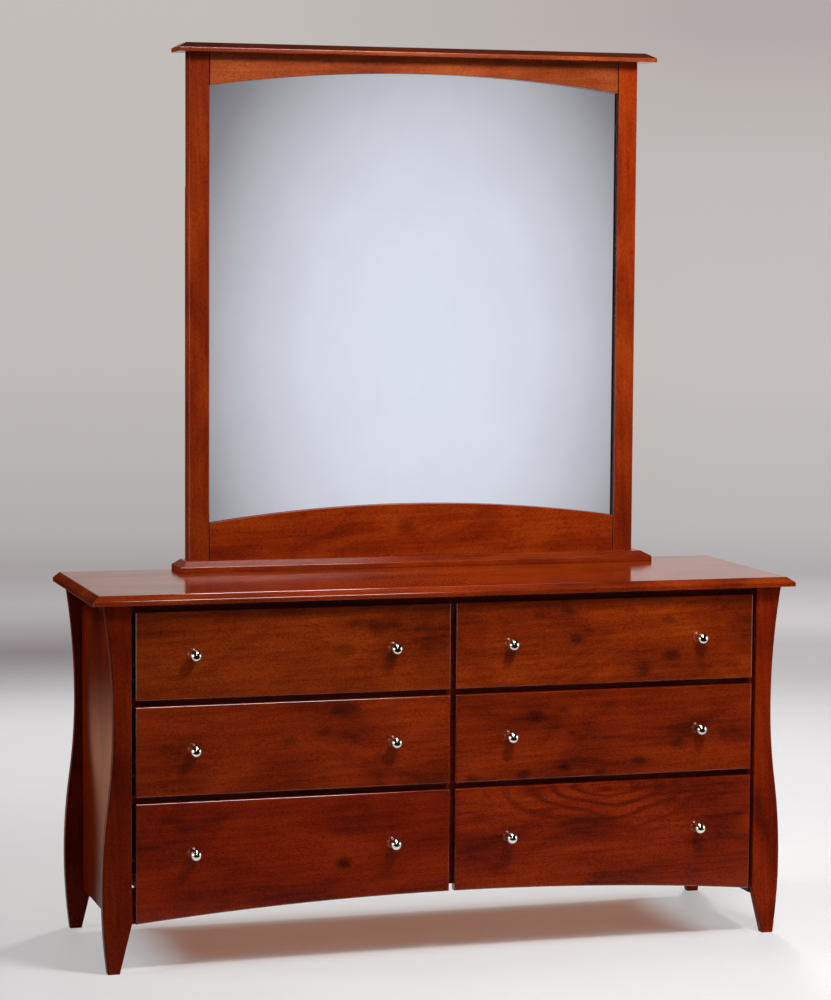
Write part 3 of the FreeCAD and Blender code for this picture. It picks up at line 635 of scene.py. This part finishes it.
for name, (stand, aim, size, power, beam) in lamps.items():
    bpy.ops.object.light_add(type="AREA", location=stand)
    softbox = bpy.context.object
    softbox.name = name
    softbox.rotation_euler = (Vector(aim) - Vector(stand)).to_track_quat("-Z", "Y").to_euler()
    softbox.data.shape = "RECTANGLE"
    softbox.data.size, softbox.data.size_y = size
    softbox.data.energy = power
    softbox.data.spread = math.radians(beam)
    softbox.visible_glossy = name not in ("overhead_softbox", "rear_softbox")
    softbox.visible_diffuse = name not in ("overhead_strip", "left_flat")

# Studio backdrop: plain warm grey, seen by the camera and by reflections from behind; the room in front of
# the dresser is dark, and a low even light fills the shadows.
world = bpy.data.worlds.new("grey_backdrop")
bpy.context.scene.world = world
world.use_nodes = True
tree = world.node_tree
shade = tree.nodes["Background"]
path = add(tree, "LightPath")
way = add(tree, "TexCoord").outputs["Generated"]
heading = add(tree, "SeparateXYZ", {}, {0: way})
rise = add(tree, "MapRange", {1: -0.5, 2: 0.5, 3: 0.0, 4: 1.0}, {0: heading.outputs[2]}).outputs[0]
# Painted shade: the paper's fold behind the dresser is a soft dark band, deepest to the left, with a paler
# one above it.
sweep = add(tree, "ValToRGB", {}, {0: rise}, ((0.335, "#e2e1e2"), (0.352, "#a4a2a2"), (0.363, "#898183"),
            (0.377, "#b2adaf"), (0.389, "#a49e9f"), (0.402, "#b1adad"), (0.46, "#c0bbb8"),
            (0.6, "#c3beba"))).outputs[0]
sweep_right = add(tree, "ValToRGB", {}, {0: rise}, ((0.335, "#e2e1e2"), (0.355, "#c2bebf"),
                  (0.367, "#bcb8b9"), (0.376, "#cfcbcc"), (0.391, "#b0abad"), (0.405, "#bab6b5"),
                  (0.46, "#c5c0bd"), (0.52, "#c2bdba"), (0.57, "#b3aba9"))).outputs[0]
aside = add(tree, "MapRange", {1: 0.22, 2: 0.38, 3: 0.0, 4: 1.0}, {0: heading.outputs[0]}).outputs[0]
sweep = add(tree, "Mix", {}, {0: aside, 6: sweep, 7: sweep_right}, data_type="RGBA").outputs[2]
# To lacquer and nickel the room is dark in front, to the left and overhead, and paler to the right.
front = add(tree, "MapRange", {1: 0.2, 2: 0.0, 3: 0.0, 4: 1.0}, {0: heading.outputs[1]}).outputs[0]
left = add(tree, "MapRange", {1: 0.22, 2: -0.02, 3: 0.0, 4: 1.0}, {0: heading.outputs[0]}).outputs[0]
above = add(tree, "MapRange", {1: 0.3, 2: 0.6, 3: 0.0, 4: 0.92}, {0: heading.outputs[2]}).outputs[0]
beyond = add(tree, "Math", {}, {0: front, 1: left}, operation="MAXIMUM").outputs[0]
beyond = add(tree, "Math", {}, {0: beyond, 1: above}, operation="MAXIMUM").outputs[0]
beyond = add(tree, "Math", {}, {0: beyond, 1: path.outputs["Is Singular Ray"]}, operation="SUBTRACT",
             use_clamp=True).outputs[0]
right = add(tree, "MapRange", {1: 0.26, 2: 0.4, 3: 0.0, 4: 0.6}, {0: heading.outputs[0]}).outputs[0]
room = add(tree, "Mix", {7: linear("#dfd9d6")}, {0: right, 6: sweep}, data_type="RGBA").outputs[2]
room = add(tree, "Mix", {7: linear("#121212")}, {0: beyond, 6: room}, data_type="RGBA").outputs[2]
bounced = add(tree, "Math", {}, {0: path.outputs["Is Glossy Ray"], 1: path.outputs["Is Transmission Ray"]},
              operation="MAXIMUM").outputs[0]
room = add(tree, "Mix", {6: linear("#6a6a6a")}, {0: bounced, 7: room}, data_type="RGBA").outputs[2]
seen = add(tree, "Mix", {}, {0: path.outputs["Is Camera Ray"], 6: room, 7: sweep},
           data_type="RGBA").outputs[2]
tree.links.new(seen, shade.inputs["Color"])

# Camera: a long lens at standing height, to the left of the dresser and turned towards it, pointing a little
# down and held almost level, as the photograph was taken.
lens_length = 107.83
sensor_width = 36
camera_place = (-1.85904, -6.11546, 1.49157)
camera_pan, camera_dip, camera_roll = -16.749, -4.975, -0.367
bpy.ops.object.camera_add()
camera = bpy.context.object
camera.data.lens = lens_length
camera.data.sensor_width = sensor_width
turn = Matrix.Rotation(math.radians(camera_pan), 4, "Z") @ Matrix.Rotation(math.radians(camera_dip), 4, "X")
turn = turn @ Matrix.Rotation(math.radians(camera_roll), 4, "Y") @ Matrix.Rotation(math.radians(90), 4, "X")
camera.matrix_world = Matrix.Translation(camera_place) @ turn
bpy.context.scene.camera = camera
bpy.context.scene.view_settings.view_transform = "Standard"
